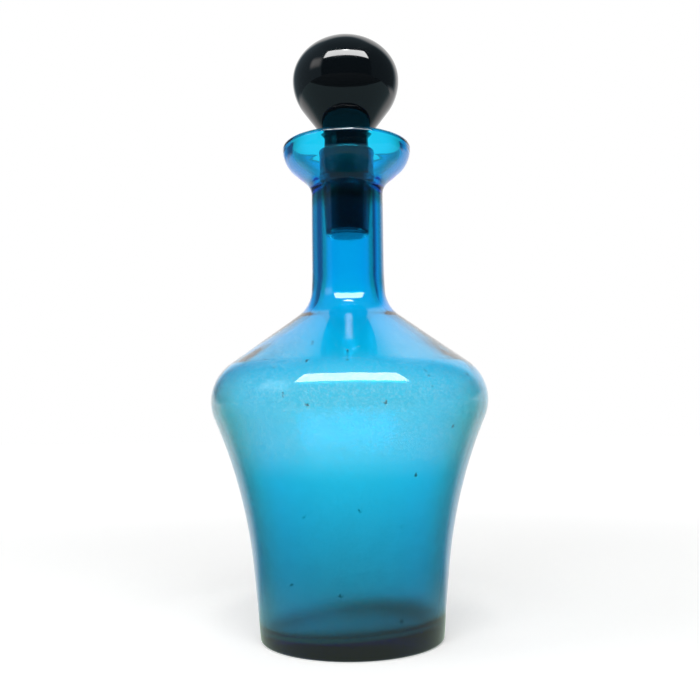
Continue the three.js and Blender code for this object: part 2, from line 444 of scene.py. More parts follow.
def turned_piece_tree():
    """Geometry Nodes that turn an outline about the upright axis.

    The outline's points carry three attributes: push, how far and which way the surface may wave there,
    tilt, how much the surface there leans with the bottle's floor, and inner, 1 on a vessel's inner face.
    """
    tree = bpy.data.node_groups.new("turned_piece", "GeometryNodeTree")
    sockets = [
        ("Outline", "INPUT", "NodeSocketGeometry", None),
        ("Turns", "INPUT", "NodeSocketInt", TURNS),
        ("Wave Length", "INPUT", "NodeSocketFloat", WAVE_LENGTH * MM),
        ("Wave Seed", "INPUT", "NodeSocketFloat", WAVE_SEED),
        ("Floor Slope", "INPUT", "NodeSocketVector", None),
        ("Material", "INPUT", "NodeSocketMaterial", None),
        ("Piece", "OUTPUT", "NodeSocketGeometry", None),
    ]
    for name, side, kind, value in sockets:
        socket = tree.interface.new_socket(name, in_out=side, socket_type=kind)
        if value is not None:
            socket.default_value = value
    given = add_node(tree, "NodeGroupInput").outputs
    grid, index, angle = outline_grid(tree, given)
    marks = [("position", "FLOAT_VECTOR"), ("push", "FLOAT_VECTOR"), ("tilt", "FLOAT"), ("inner", "FLOAT")]
    marked = {}
    for name, kind in marks:
        field = add_node(tree, "GeometryNodeInputNamedAttribute", {"Name": name}, data_type=kind)
        marked[name] = add_node(tree, "GeometryNodeSampleIndex", {
            "Geometry": given["Outline"], "Value": field, "Index": index,
        }, data_type=kind, domain="POINT")
    place, push = [add_node(tree, "ShaderNodeVectorRotate", {
        "Vector": marked[name], "Axis": (0, 0, 1), "Angle": angle,
    }, rotation_type="AXIS_ANGLE") for name in ("position", "push")]
    waved = waved_place(tree, given, place, push)
    leaning = leaning_place(tree, given, waved, marked["tilt"])
    faced = add_node(tree, "GeometryNodeStoreNamedAttribute", {
        "Geometry": grid, "Name": "inner_face", "Value": marked["inner"],
    }, data_type="FLOAT", domain="POINT")
    placed = add_node(tree, "GeometryNodeSetPosition", {"Geometry": faced, "Position": leaning})
    closed = add_node(tree, "GeometryNodeMergeByDistance", {
        "Geometry": placed, "Distance": MERGE_DISTANCE * MM,
    })
    outward = add_node(tree, "GeometryNodeFlipFaces", {"Mesh": closed})
    smooth = add_node(tree, "GeometryNodeSetShadeSmooth", {"Geometry": outward})
    real = add_node(tree, "GeometryNodeRealizeInstances", {"Geometry": smooth})
    finished = add_node(tree, "GeometryNodeSetMaterial", {"Geometry": real, "Material": given["Material"]})
    add_node(tree, "NodeGroupOutput", {"Piece": finished})
    return tree


def turned_piece(tree, name, outline, material, marks=None, floor_slope=(0, 0, 0)):
    """A piece turned from its outline, as a plain mesh. The marks are each point's push, tilt and inner."""
    unmarked = (Vector((0, 0)), 0.0, 0.0)
    pushes, tilts, inners = zip(*(marks or [unmarked] * len(outline)))
    line = bpy.data.meshes.new(name + "_outline")
    line.from_pydata([(p.x * MM, 0, p.y * MM) for p in outline], [], [])
    push = line.attributes.new("push", "FLOAT_VECTOR", "POINT")
    push.data.foreach_set("vector", [v * MM for p in pushes for v in (p.x, 0, p.y)])
    for mark, values in (("tilt", tilts), ("inner", inners)):
        line.attributes.new(mark, "FLOAT", "POINT").data.foreach_set("value", values)
    maker = add_object(name + "_maker", line)
    modifier = maker.modifiers.new("turned", "NODES")
    modifier.node_group = tree
    inputs = {"Material": material, "Floor Slope": floor_slope}
    for item in tree.interface.items_tree:
        if item.in_out == "INPUT" and item.name in inputs:
            modifier[item.identifier] = inputs[item.name]
    mesh = bpy.data.meshes.new_from_object(maker.evaluated_get(bpy.context.evaluated_depsgraph_get()))
    mesh.name = name
    maker.modifiers.clear()
    bpy.data.objects.remove(maker)
    bpy.data.meshes.remove(line)
    mesh.set_sharp_from_angle(angle=math.radians(SHARP_ANGLE))
    return add_object(name, mesh)


# Blue glass: red dies out within a few millimetres, green more slowly, and blue hardly
GLASS_TINT = "#00F3FE"
GLASS_DENSITY = 900.0
GLASS_IOR = 1.5

# Blue glass: where its parts begin and end, as heights in millimetres
BELLY_ENDS = 150
BELLY_FULL = 138
NECK_STARTS = 150
NECK_FULL = 163
BOWL_STARTS = 209
BOWL_FULL = 215

# Blue glass: what it turns to where it is seen at a slant, since the paths through it are long there. A
# slant is 0 straight on and 1 edge on, and the slants of neck and bowl are a middle, half and soft edge
BODY_EDGE_TINT = "#D6F0CC"
BODY_EDGE_ENDS = 122
BODY_EDGE_FULL = 104
BODY_SLANT_STARTS = 0.26
BODY_SLANT_FULL = 0.72
NECK_EDGE_TINT = "#C0DE92"
NECK_SLANTS = (0.68, 0.24, 0.22)
BOWL_EDGE_TINT = "#B9CBB0"
BOWL_SLANTS = (0.58, 0.26, 0.28)

# Blue glass: the thick corner between neck and bowl, as bands of height: middle, half and soft edge
THROAT_TINT = "#6E8A50"
THROAT_BAND = (207.5, 4, 4)
THROAT_OUTER_TINT = "#96B48A"
THROAT_OUTER_BAND = (205.5, 3.5, 4)

# Blue glass: the thick foot, partly the deeper colour of its long paths and partly painted shade, the dark
# floor under it seen through the glass. The shade weakens to the left, but not on the outside at the front
FOOT_SHADE_TINT = "#4A5834"
FOOT_SHADE_TOP = 12
FOOT_SHADE_FULL = 5
FOOT_SHADE_LEFT = -30
FOOT_SHADE_RIGHT = 5
FOOT_SHADE_LEAST = 0.4
FOOT_FRONT_BLEND = 10

# Lower body: its inner face is tinted darker towards the foot, in patches and streaks, and a dried film
# makes it matte
DIMMING_TINT = "#BEC0BE"
DIMMING_TOP = 91
DIMMING_FULL = 22
DIMMING_PATCH = 7
DIMMING_LEAST = 0.9
DIMMING_MOST = 1.08
FILM_ROUGHNESS = 0.25
FILM_DRIFT = 20
MATTE_TOP = 144
MATTE_FULL = 128
MATTE_EDGE_WANDER = 44
NECK_ROUGHNESS = 0.17

# Most of a noise's values lie between these two
NOISE_LOW = 0.3
NOISE_HIGH = 0.7

# Grains of the film: real ones lie about 0.1 mm apart, and these are drawn coarser so that they show
GRAIN_SPACING = 0.75
GRAIN_EDGE = 0.46
GRAIN_CORE = 0.18
GRAIN_DEPTH = 0.3

# Specks of dirt, stuck to the inside of the belly
SPECK_TINT = "#27403A"
SPECK_SPACING = 12
SPECK_RADIUS = 1.25
SPECK_CORE = 0.4
SPECK_RAGGEDNESS = 1.1

# Bloom: the whitish veil round the widest part and on both sides of the slope above it
BLOOM_EVEN = 0.04
BLOOM_GRAINS = 0.17
BLOOM_BAND = (101.5, 18.5, 20)
SLOPE_BLOOM_BAND = (133, 12, 12)
SLOPE_BLOOM_STARTS = 8
SLOPE_BLOOM_FULL = 26


def bottle_places(tree):
    """Where a point of the bottle lies, in millimetres, and how far it belongs to each part and face."""
    metres = add_node(tree, "ShaderNodeTexCoord").outputs["Object"]
    place = add_node(tree, "ShaderNodeVectorMath", {0: metres, "Scale": 1 / MM}, operation="SCALE")
    axes = add_node(tree, "ShaderNodeSeparateXYZ", {0: place}).outputs
    on_belly, on_neck, on_bowl = [
        add_node(tree, "ShaderNodeMapRange", {"Value": axes["Z"], "From Min": starts, "From Max": full})
        for starts, full in ((BELLY_ENDS, BELLY_FULL), (NECK_STARTS, NECK_FULL), (BOWL_STARTS, BOWL_FULL))
    ]
    inner = add_node(tree, "ShaderNodeAttribute", attribute_name="inner_face").outputs["Fac"]
    outer = add_node(tree, "ShaderNodeMath", {0: 1.0, 1: inner}, operation="SUBTRACT")
    slant = add_node(tree, "ShaderNodeLayerWeight").outputs["Facing"]
    return SimpleNamespace(
        place=place, x=axes["X"], y=axes["Y"], height=axes["Z"], inner=inner, outer=outer, slant=slant,
        on_belly=on_belly, on_neck=on_neck, on_bowl=on_bowl,
    )


def edge_tint(tree, at):
    """Teal edges on the body, greener ones on neck and bowl, and a dark corner between those two."""
    on_body = add_node(tree, "ShaderNodeMapRange", {
        "Value": at.height, "From Min": BODY_EDGE_ENDS, "From Max": BODY_EDGE_FULL,
    })
    body_slant = add_node(tree, "ShaderNodeMapRange", {
        "Value": at.slant, "From Min": BODY_SLANT_STARTS, "From Max": BODY_SLANT_FULL,
    }, interpolation_type="SMOOTHSTEP")
    body_edge = add_node(tree, "ShaderNodeMath", {0: on_body, 1: body_slant}, operation="MULTIPLY")
    body_tint = add_node(tree, "ShaderNodeMix", {
        0: body_edge, COLOUR_A: linear(WHITE), COLOUR_B: linear(BODY_EDGE_TINT),
    }, data_type="RGBA")
    upper_slant = add_node(tree, "ShaderNodeMix", {
        0: at.on_bowl,
        FLOAT_A: softly_within(tree, at.slant, *NECK_SLANTS),
        FLOAT_B: softly_within(tree, at.slant, *BOWL_SLANTS),
    })
    upper_edge = add_node(tree, "ShaderNodeMath", {0: at.on_neck, 1: upper_slant}, operation="MULTIPLY")
    upper_tint = add_node(tree, "ShaderNodeMix", {
        0: at.on_bowl, COLOUR_A: linear(NECK_EDGE_TINT), COLOUR_B: linear(BOWL_EDGE_TINT),
    }, data_type="RGBA")
    at_throat = softly_within(tree, at.height, *THROAT_BAND)
    corner_tint = add_node(tree, "ShaderNodeMix", {
        0: at_throat, COLOUR_A: upper_tint, COLOUR_B: linear(THROAT_TINT),
    }, data_type="RGBA")
    side_tint = add_node(tree, "ShaderNodeMix", {
        0: upper_edge, COLOUR_A: body_tint, COLOUR_B: corner_tint,
    }, data_type="RGBA")
    under_bowl = softly_within(tree, at.height, *THROAT_OUTER_BAND)
    outer_throat = add_node(tree, "ShaderNodeMath", {0: under_bowl, 1: at.outer}, operation="MULTIPLY")
    return add_node(tree, "ShaderNodeMix", {
        0: outer_throat, COLOUR_A: side_tint, COLOUR_B: linear(THROAT_OUTER_TINT),
    }, data_type="RGBA")


def film_grains(tree, at):
    """1 on each grain of the dried film, falling to 0 between them."""
    to_grain = add_node(tree, "ShaderNodeTexVoronoi", {"Vector": at.place, "Scale": 1 / GRAIN_SPACING})
    return add_node(tree, "ShaderNodeMapRange", {
        "Value": to_grain, "From Min": GRAIN_EDGE, "From Max": GRAIN_CORE,
    })


def lower_dimming_tint(tree, at, grains):
    """The inner face's tint: darker towards the foot, patchy, and with the film's grains over the whole
    belly.
    """
    streaks = add_node(tree, "ShaderNodeTexNoise", {
        "Vector": at.place, "Scale": 1 / DIMMING_PATCH, "Detail": 4.0, "Roughness": 0.6,
    })
    towards_foot = add_node(tree, "ShaderNodeMapRange", {
        "Value": at.height, "From Min": DIMMING_TOP, "From Max": DIMMING_FULL,
    })
    patches = add_node(tree, "ShaderNodeMapRange", {
        "Value": streaks, "From Min": NOISE_LOW, "From Max": NOISE_HIGH,
        "To Min": DIMMING_LEAST, "To Max": DIMMING_MOST,
    })
    # Darker towards the foot, in patches
    patchy = add_node(tree, "ShaderNodeMath", {0: towards_foot, 1: patches}, operation="MULTIPLY")
    dots = add_node(tree, "ShaderNodeMath", {0: grains, 1: GRAIN_DEPTH}, operation="MULTIPLY")
    grainy = add_node(tree, "ShaderNodeMath", {
        0: dots, 1: at.on_belly, 2: patchy,
    }, operation="MULTIPLY_ADD")
    film = add_node(tree, "ShaderNodeMath", {0: grainy, 1: at.inner}, operation="MULTIPLY")
    return add_node(tree, "ShaderNodeMix", {
        0: film, COLOUR_A: linear(WHITE), COLOUR_B: linear(DIMMING_TINT),
    }, data_type="RGBA")


def dirt_specks(tree, at):
    """1 on each ragged speck that sticks inside the belly."""
    jitter = add_node(tree, "ShaderNodeTexNoise", {
        "Vector": at.place, "Scale": 1 / SPECK_RAGGEDNESS, "Detail": 1.0,
    }).outputs["Color"]
    ragged = add_node(tree, "ShaderNodeVectorMath", {
        0: jitter, 1: (2 * SPECK_RADIUS,) * 3, 2: at.place,
    }, operation="MULTIPLY_ADD")
    to_speck = add_node(tree, "ShaderNodeTexVoronoi", {"Vector": ragged, "Scale": 1 / SPECK_SPACING})
    edge = SPECK_RADIUS / SPECK_SPACING
    speck = add_node(tree, "ShaderNodeMapRange", {
        "Value": to_speck, "From Min": edge, "From Max": SPECK_CORE * edge,
    }, interpolation_type="SMOOTHSTEP")
    inner_belly = add_node(tree, "ShaderNodeMath", {0: at.on_belly, 1: at.inner}, operation="MULTIPLY")
    return add_node(tree, "ShaderNodeMath", {0: speck, 1: inner_belly}, operation="MULTIPLY")


def painted_foot_shade(tree, at):
    """Painted shade on the thick foot, for the dark floor under it. It follows the floor's slope."""
    rise = add_node(tree, "ShaderNodeVectorMath", {0: at.place, 1: FLOOR_SLOPE}, operation="DOT_PRODUCT")
    above_floor = add_node(tree, "ShaderNodeMath", {0: at.height, 1: rise}, operation="SUBTRACT")
    depth = add_node(tree, "ShaderNodeMapRange", {
        "Value": above_floor, "From Min": FOOT_SHADE_TOP, "From Max": FOOT_SHADE_FULL,
    }, interpolation_type="SMOOTHSTEP")
    weaker_left = add_node(tree, "ShaderNodeMapRange", {
        "Value": at.x, "From Min": FOOT_SHADE_LEFT, "From Max": FOOT_SHADE_RIGHT,
        "To Min": FOOT_SHADE_LEAST, "To Max": 1.0,
    }, interpolation_type="SMOOTHSTEP")
    at_front = add_node(tree, "ShaderNodeMapRange", {
        "Value": at.y, "From Min": FOOT_FRONT_BLEND, "From Max": -FOOT_FRONT_BLEND,
    })
    outside = add_node(tree, "ShaderNodeMix", {0: at_front, FLOAT_A: weaker_left, FLOAT_B: 1.0})
    shade = add_node(tree, "ShaderNodeMix", {0: at.inner, FLOAT_A: outside, FLOAT_B: weaker_left})
    return add_node(tree, "ShaderNodeMath", {0: depth, 1: shade}, operation="MULTIPLY")


def inside_roughness(tree, at):
    """Matte where the film is, with an uneven upper edge, and a little in the neck. The bowl is clear."""
    drift = add_node(tree, "ShaderNodeTexNoise", {
        "Vector": at.place, "Scale": 1 / FILM_DRIFT, "Detail": 6.0, "Roughness": 0.75,
    })
    ragged_height = add_node(tree, "ShaderNodeMath", {
        0: drift, 1: MATTE_EDGE_WANDER, 2: at.height,
    }, operation="MULTIPLY_ADD")
    body = add_node(tree, "ShaderNodeMapRange", {
        "Value": ragged_height, "From Min": MATTE_TOP, "From Max": MATTE_FULL,
        "To Max": FILM_ROUGHNESS,
    })
    neck = add_node(tree, "ShaderNodeMath", {
        0: at.on_neck, 1: NECK_ROUGHNESS, 2: body,
    }, operation="MULTIPLY_ADD")
    clear_bowl = add_node(tree, "ShaderNodeMix", {0: at.on_bowl, FLOAT_A: neck, FLOAT_B: 0.0})
    return add_node(tree, "ShaderNodeMath", {0: clear_bowl, 1: at.inner}, operation="MULTIPLY")


def outer_bloom(tree, at, grains):
    """How much of the outer face is veiled: a band round the widest part, and both sides of the slope."""
    band = softly_within(tree, at.height, *BLOOM_BAND)
    sideways = add_node(tree, "ShaderNodeMath", {0: at.x}, operation="ABSOLUTE")
    on_sides = add_node(tree, "ShaderNodeMapRange", {
        "Value": sideways, "From Min": SLOPE_BLOOM_STARTS, "From Max": SLOPE_BLOOM_FULL,
    }, interpolation_type="SMOOTHSTEP")
    on_slope = softly_within(tree, at.height, *SLOPE_BLOOM_BAND)
    side_patches = add_node(tree, "ShaderNodeMath", {0: on_sides, 1: on_slope}, operation="MULTIPLY")
    bloomed = add_node(tree, "ShaderNodeMath", {0: band, 1: side_patches}, operation="MAXIMUM")
    outer_bloomed = add_node(tree, "ShaderNodeMath", {0: bloomed, 1: at.outer}, operation="MULTIPLY")
    cover = add_node(tree, "ShaderNodeMath", {
        0: grains, 1: BLOOM_GRAINS, 2: BLOOM_EVEN,
    }, operation="MULTIPLY_ADD")
    return add_node(tree, "ShaderNodeMath", {0: cover, 1: outer_bloomed}, operation="MULTIPLY")


def blue_glass():
    """Soda-lime glass, blown and fire polished, with a dried film inside the body.

    Thick glass looks a deeper blue than thin, and its edges turn teal. The film is rough and leaves a fine
    bloom round the widest part. The lower body is tinted darker towards the foot, and the foot carries
    painted shade of the dark floor under it.
    """
    material, tree = new_material("blown_soda_lime_glass_blue")
    at = bottle_places(tree)
    grains = film_grains(tree, at)
    dirty = add_node(tree, "ShaderNodeMix", {
        0: dirt_specks(tree, at), COLOUR_A: lower_dimming_tint(tree, at, grains), COLOUR_B: linear(SPECK_TINT),
    }, data_type="RGBA")
    tinted = add_node(tree, "ShaderNodeMix", {
        0: 1.0, COLOUR_A: edge_tint(tree, at), COLOUR_B: dirty,
    }, data_type="RGBA", blend_type="MULTIPLY")
    # The foot: painted shade of the dark floor under it, over the glass's own colour
    colour = add_node(tree, "ShaderNodeMix", {
        0: painted_foot_shade(tree, at), COLOUR_A: tinted, COLOUR_B: linear(FOOT_SHADE_TINT),
    }, data_type="RGBA")
    bloom = outer_bloom(tree, at, grains)
    clear = add_node(tree, "ShaderNodeMath", {0: 1.0, 1: bloom}, operation="SUBTRACT")
    body = add_node(tree, "ShaderNodeBsdfPrincipled", {
        "Base Color": colour, "Roughness": inside_roughness(tree, at), "IOR": GLASS_IOR,
        "Transmission Weight": clear,
    })
    tint = add_node(tree, "ShaderNodeVolumeAbsorption", {
        "Color": linear(GLASS_TINT), "Density": GLASS_DENSITY,
    })
    add_node(tree, "ShaderNodeOutputMaterial", {"Surface": body, "Volume": tint})
    return material


# Dark glass: how long and how deep the mould's unevenness is, in millimetres, and how matte smudges are
DARK_COLOUR = "#05080B"
DARK_IOR = 1.52
SWELL_LENGTH = 11
SWELL_DEPTH = 0.10
SMUDGE_SIZE = 7
SMUDGE_STARTS = 0.42
SMUDGE_FULL = 0.68
POLISHED_ROUGHNESS = 0.02
SMUDGE_ROUGHNESS = 0.13


def dark_glass():
    """Near-black glass, pressed and fire polished.

    The mould leaves a slow unevenness that bends the reflections, and handling leaves faint smudges.
    """
    material, tree = new_material("fire_polished_pressed_glass_near_black")
    place = add_node(tree, "ShaderNodeTexCoord").outputs["Object"]
    swell = add_node(tree, "ShaderNodeTexNoise", {
        "Vector": place, "Scale": 1 / (SWELL_LENGTH * MM), "Detail": 1.0,
    })
    uneven = add_node(tree, "ShaderNodeBump", {"Height": swell, "Distance": SWELL_DEPTH * MM})
    smudges = add_node(tree, "ShaderNodeTexNoise", {
        "Vector": place, "Scale": 1 / (SMUDGE_SIZE * MM), "Detail": 5.0, "Roughness": 0.65,
    })
    roughness = add_node(tree, "ShaderNodeMapRange", {
        "Value": smudges, "From Min": SMUDGE_STARTS, "From Max": SMUDGE_FULL,
        "To Min": POLISHED_ROUGHNESS, "To Max": SMUDGE_ROUGHNESS,
    })
    body = add_node(tree, "ShaderNodeBsdfPrincipled", {
        "Base Color": linear(DARK_COLOUR), "Roughness": roughness, "IOR": DARK_IOR,
        "Normal": uneven,
    })
    add_node(tree, "ShaderNodeOutputMaterial", {"Surface": body})
    return material


# Grey plastic: its colours, how much light it lets through, and the size of its cloudy patches
SMOKE_DARKER = "#82929A"
SMOKE_LIGHTER = "#A8B5BA"
PLASTIC_IOR = 1.5
PLASTIC_CLEARNESS = 0.9
MELT_CLOUD_SIZE = 5

# Grey plastic: the mould's grain is about 0.05 mm on a real plug, and is drawn coarser so that it shows
SKIN_GRAIN = 2.5
SKIN_DEPTH = 0.012
SKIN_SMOOTHEST = 0.03
SKIN_ROUGHEST = 0.10


def smoke_plastic():
    """Polyethylene, injection moulded, tinted grey.

    It is satin and lets light through, so the dark pin shows as a core in it. The melt has set a little
    cloudy in places, and the mould's skin is finely uneven.
    """
    material, tree = new_material("moulded_polyethylene_smoke_grey")
    place = add_node(tree, "ShaderNodeTexCoord").outputs["Object"]
    clouds = add_node(tree, "ShaderNodeTexNoise", {
        "Vector": place, "Scale": 1 / (MELT_CLOUD_SIZE * MM), "Detail": 3.0,
    })
    colour = add_node(tree, "ShaderNodeMix", {
        0: clouds, COLOUR_A: linear(SMOKE_DARKER), COLOUR_B: linear(SMOKE_LIGHTER),
    }, data_type="RGBA")
    skin = add_node(tree, "ShaderNodeTexNoise", {
        "Vector": place, "Scale": 1 / (SKIN_GRAIN * MM), "Detail": 2.0,
    })
    roughness = add_node(tree, "ShaderNodeMapRange", {
        "Value": skin, "To Min": SKIN_SMOOTHEST, "To Max": SKIN_ROUGHEST,
    })
    uneven = add_node(tree, "ShaderNodeBump", {"Height": skin, "Distance": SKIN_DEPTH * MM})
    body = add_node(tree, "ShaderNodeBsdfPrincipled", {
        "Base Color": colour, "Roughness": roughness, "IOR": PLASTIC_IOR,
        "Transmission Weight": PLASTIC_CLEARNESS, "Normal": uneven,
    })
    add_node(tree, "ShaderNodeOutputMaterial", {"Surface": body})
    return material


# Pieces

def reached(value, start, full):
    """How far the value has come from the start to the full mark, from 0 to 1."""
    return min(1.0, max(0.0, (value - start) / (full - start)))


def outer_mark(point, into_wall):
    """Outside, the glass waves only above the foot, so that the bottle stands flat."""
    wave = OUTER_WAVE * reached(point.y, OUTER_WAVE_STARTS, OUTER_WAVE_FULL)
    return into_wall * wave, 0.0, 0.0


def eased(share):
    """The same share, starting and ending gently."""
    return share * share * (3 - 2 * share)


def inner_mark(point, into_wall):
    """Inside, the glass waves in the body alone, and its lowest part leans with the floor."""
    in_body = reached(point.y, NECK_FOOT_HEIGHT, NECK_FOOT_HEIGHT - INNER_WAVE_FADE)
    off_axis = reached(point.x, 0, INNER_WAVE_FULL_RADIUS)
    lean = eased(reached(point.y, TILT_GONE_ABOVE, TILT_FULL_BELOW))
    return -into_wall * INNER_WAVE * in_body * off_axis, lean, 1.0


def blown_bottle(tree):
    """The bottle, with its outer and inner faces in one outline that meets at the lip."""
    outside, inside = bottle_outlines()
    outline = outside + inside[1:]
    befores = outline[:1] + outline[:-1]
    afters = outline[1:] + outline[-1:]
    marks = []
    for i, (before, point, after) in enumerate(zip(befores, outline, afters)):
        along = (after - before).normalized()
        into_wall = Vector((-along.y, along.x))
        face_mark = outer_mark if i < len(outside) else inner_mark
        marks.append(face_mark(point, into_wall))
    return turned_piece(tree, "glass_bottle", outline, blue_glass(), marks, FLOOR_SLOPE)


def make_carafe():
    tree = turned_piece_tree()
    bottle = blown_bottle(tree)
    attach(bottle, "bottle")
    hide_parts("bottle")
    sleeve = turned_piece(tree, "plug_sleeve", sleeve_outline(), smoke_plastic())
    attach(sleeve, "plug")
    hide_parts("stopper_sleeve")
    ball = turned_piece(tree, "ball_and_pin", ball_outline(), dark_glass())
    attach(ball, "ball")
    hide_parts("stopper_ball")


# Camera: lengths in metres, but for the lens and the sensor
CAMERA_PLACE = Vector((0.00045, -0.40559, 0.10135))
CAMERA_RISE = math.radians(4.315)
CAMERA_ROLL = math.radians(-0.75)
CAMERA_LENS = 44.49
SENSOR_WIDTH = 36.0


def make_camera():
    """The photograph's view: a little below the bottle's middle, looking slightly up, rolled a little."""
    data = bpy.data.cameras.new("camera")
    data.lens = CAMERA_LENS
    data.sensor_width = SENSOR_WIDTH
    camera = add_object("camera", data)
    forward = Vector((0, math.cos(CAMERA_RISE), math.sin(CAMERA_RISE)))
    up = Vector((0, -math.sin(CAMERA_RISE), math.cos(CAMERA_RISE)))
    right = Vector((1, 0, 0))
    rolled_right = right * math.cos(CAMERA_ROLL) + up * math.sin(CAMERA_ROLL)
    rolled_up = up * math.cos(CAMERA_ROLL) - right * math.sin(CAMERA_ROLL)
    turn = Matrix((rolled_right, rolled_up, -forward)).transposed().to_4x4()
    camera.matrix_world = Matrix.Translation(CAMERA_PLACE) @ turn
    bpy.context.scene.camera = camera


# Light tent: what matte faces get from it, and how bright its sides and how cool its dim parts are
AMBIENT = 0.35
LEFT_WALL_LEVEL = 0.27
RIGHT_WALL_LEVEL = 0.13
WALL_BLEND = 0.3
COOL_TINT = "#C9E6F5"
COOL_STARTS = 0.9
COOL_FULL = 0.3

# Light tent: angles in degrees, sideways from the front and up from level
FRONT_MIDDLE = -9.0
BACK_LEVEL = 1.05
BACK_STARTS = 108.0
BACK_FULL = 132.0
BACK_NARROWER = 23.0
BACK_NARROWS_FROM = -2.0
BACK_NARROWS_TO = 6.0
CEILING_LEVEL = 0.20
CEILING_STARTS = 54.0
CEILING_FULL = 68.0

# Light tent: patches, as the middle and half across, the middle and half upwards, and the soft edge
OPENING = (2, 54, 0, 32, 4)
OPENING_LEVEL = 0.035
SIDE_LIGHT = (-67, 13, 27, 9, 12)
SIDE_LIGHT_LEVEL = 1.6

# Softbox: its middle, half and soft edge across and upwards, for each unit of distance ahead
SOFTBOX_LEVEL = 14.0
SOFTBOX_ACROSS = (0.1, 1.29, 0.04)
SOFTBOX_UPWARD = (1.25, 0.41, 0.04)
SOFTBOX_CURVE = 0.5
LEAST_AHEAD = 0.02


def ray_kinds(tree):
    """Whether the ray was mirrored, and whether a matte face scattered it."""
    path = add_node(tree, "ShaderNodeLightPath").outputs
    return [add_node(tree, "ShaderNodeMath", {
        0: path[depth], 1: 0.5,
    }, operation="GREATER_THAN") for depth in ("Glossy Depth", "Diffuse Depth")]


def front_angle(tree, axes):
    """How far a place or a way lies towards the front, and its angle from there, in radians."""
    towards = add_node(tree, "ShaderNodeMath", {0: axes["Y"], 1: -1.0}, operation="MULTIPLY")
    angle = add_node(tree, "ShaderNodeMath", {0: axes["X"], 1: towards}, operation="ARCTAN2")
    return towards, angle


def tent_patch(tree, side, rise, side_middle, side_half, rise_middle, rise_half, edge):
    """1 within a patch of the tent."""
    across = softly_within(tree, side, side_middle, side_half, edge)
    upward = softly_within(tree, rise, rise_middle, rise_half, edge)
    return add_node(tree, "ShaderNodeMath", {0: across, 1: upward}, operation="MULTIPLY")


def tent_back(tree, side, rise):
    """1 at the back of the tent, which is narrower above the floor's far edge."""
    from_front = add_node(tree, "ShaderNodeMath", {0: side, 1: FRONT_MIDDLE}, operation="SUBTRACT")
    off_front = add_node(tree, "ShaderNodeMath", {0: from_front}, operation="ABSOLUTE")
    narrower = add_node(tree, "ShaderNodeMapRange", {
        "Value": rise, "From Min": BACK_NARROWS_FROM, "From Max": BACK_NARROWS_TO,
        "To Max": BACK_NARROWER,
    })
    from_edge = add_node(tree, "ShaderNodeMath", {0: off_front, 1: narrower}, operation="SUBTRACT")
    return add_node(tree, "ShaderNodeMapRange", {
        "Value": from_edge, "From Min": BACK_STARTS, "From Max": BACK_FULL,
    }, interpolation_type="SMOOTHSTEP")


def softbox_share(tree, axes, towards, rise_angle):
    """1 within the long softbox, which is halfway between a flat one and one curved round the bottle."""
    ahead = add_node(tree, "ShaderNodeMath", {0: towards, 1: LEAST_AHEAD}, operation="MAXIMUM")
    level_reach = add_node(tree, "ShaderNodeMath", {0: rise_angle}, operation="COSINE")
    reach = add_node(tree, "ShaderNodeMix", {0: SOFTBOX_CURVE, FLOAT_A: ahead, FLOAT_B: level_reach})
    across = add_node(tree, "ShaderNodeMath", {0: axes["X"], 1: ahead}, operation="DIVIDE")
    upward = add_node(tree, "ShaderNodeMath", {0: axes["Z"], 1: reach}, operation="DIVIDE")
    over_width = softly_within(tree, across, *SOFTBOX_ACROSS)
    over_height = softly_within(tree, upward, *SOFTBOX_UPWARD)
    on_box = add_node(tree, "ShaderNodeMath", {0: over_width, 1: over_height}, operation="MULTIPLY")
    in_front = add_node(tree, "ShaderNodeMath", {0: towards, 1: LEAST_AHEAD}, operation="GREATER_THAN")
    return add_node(tree, "ShaderNodeMath", {0: on_box, 1: in_front}, operation="MULTIPLY")


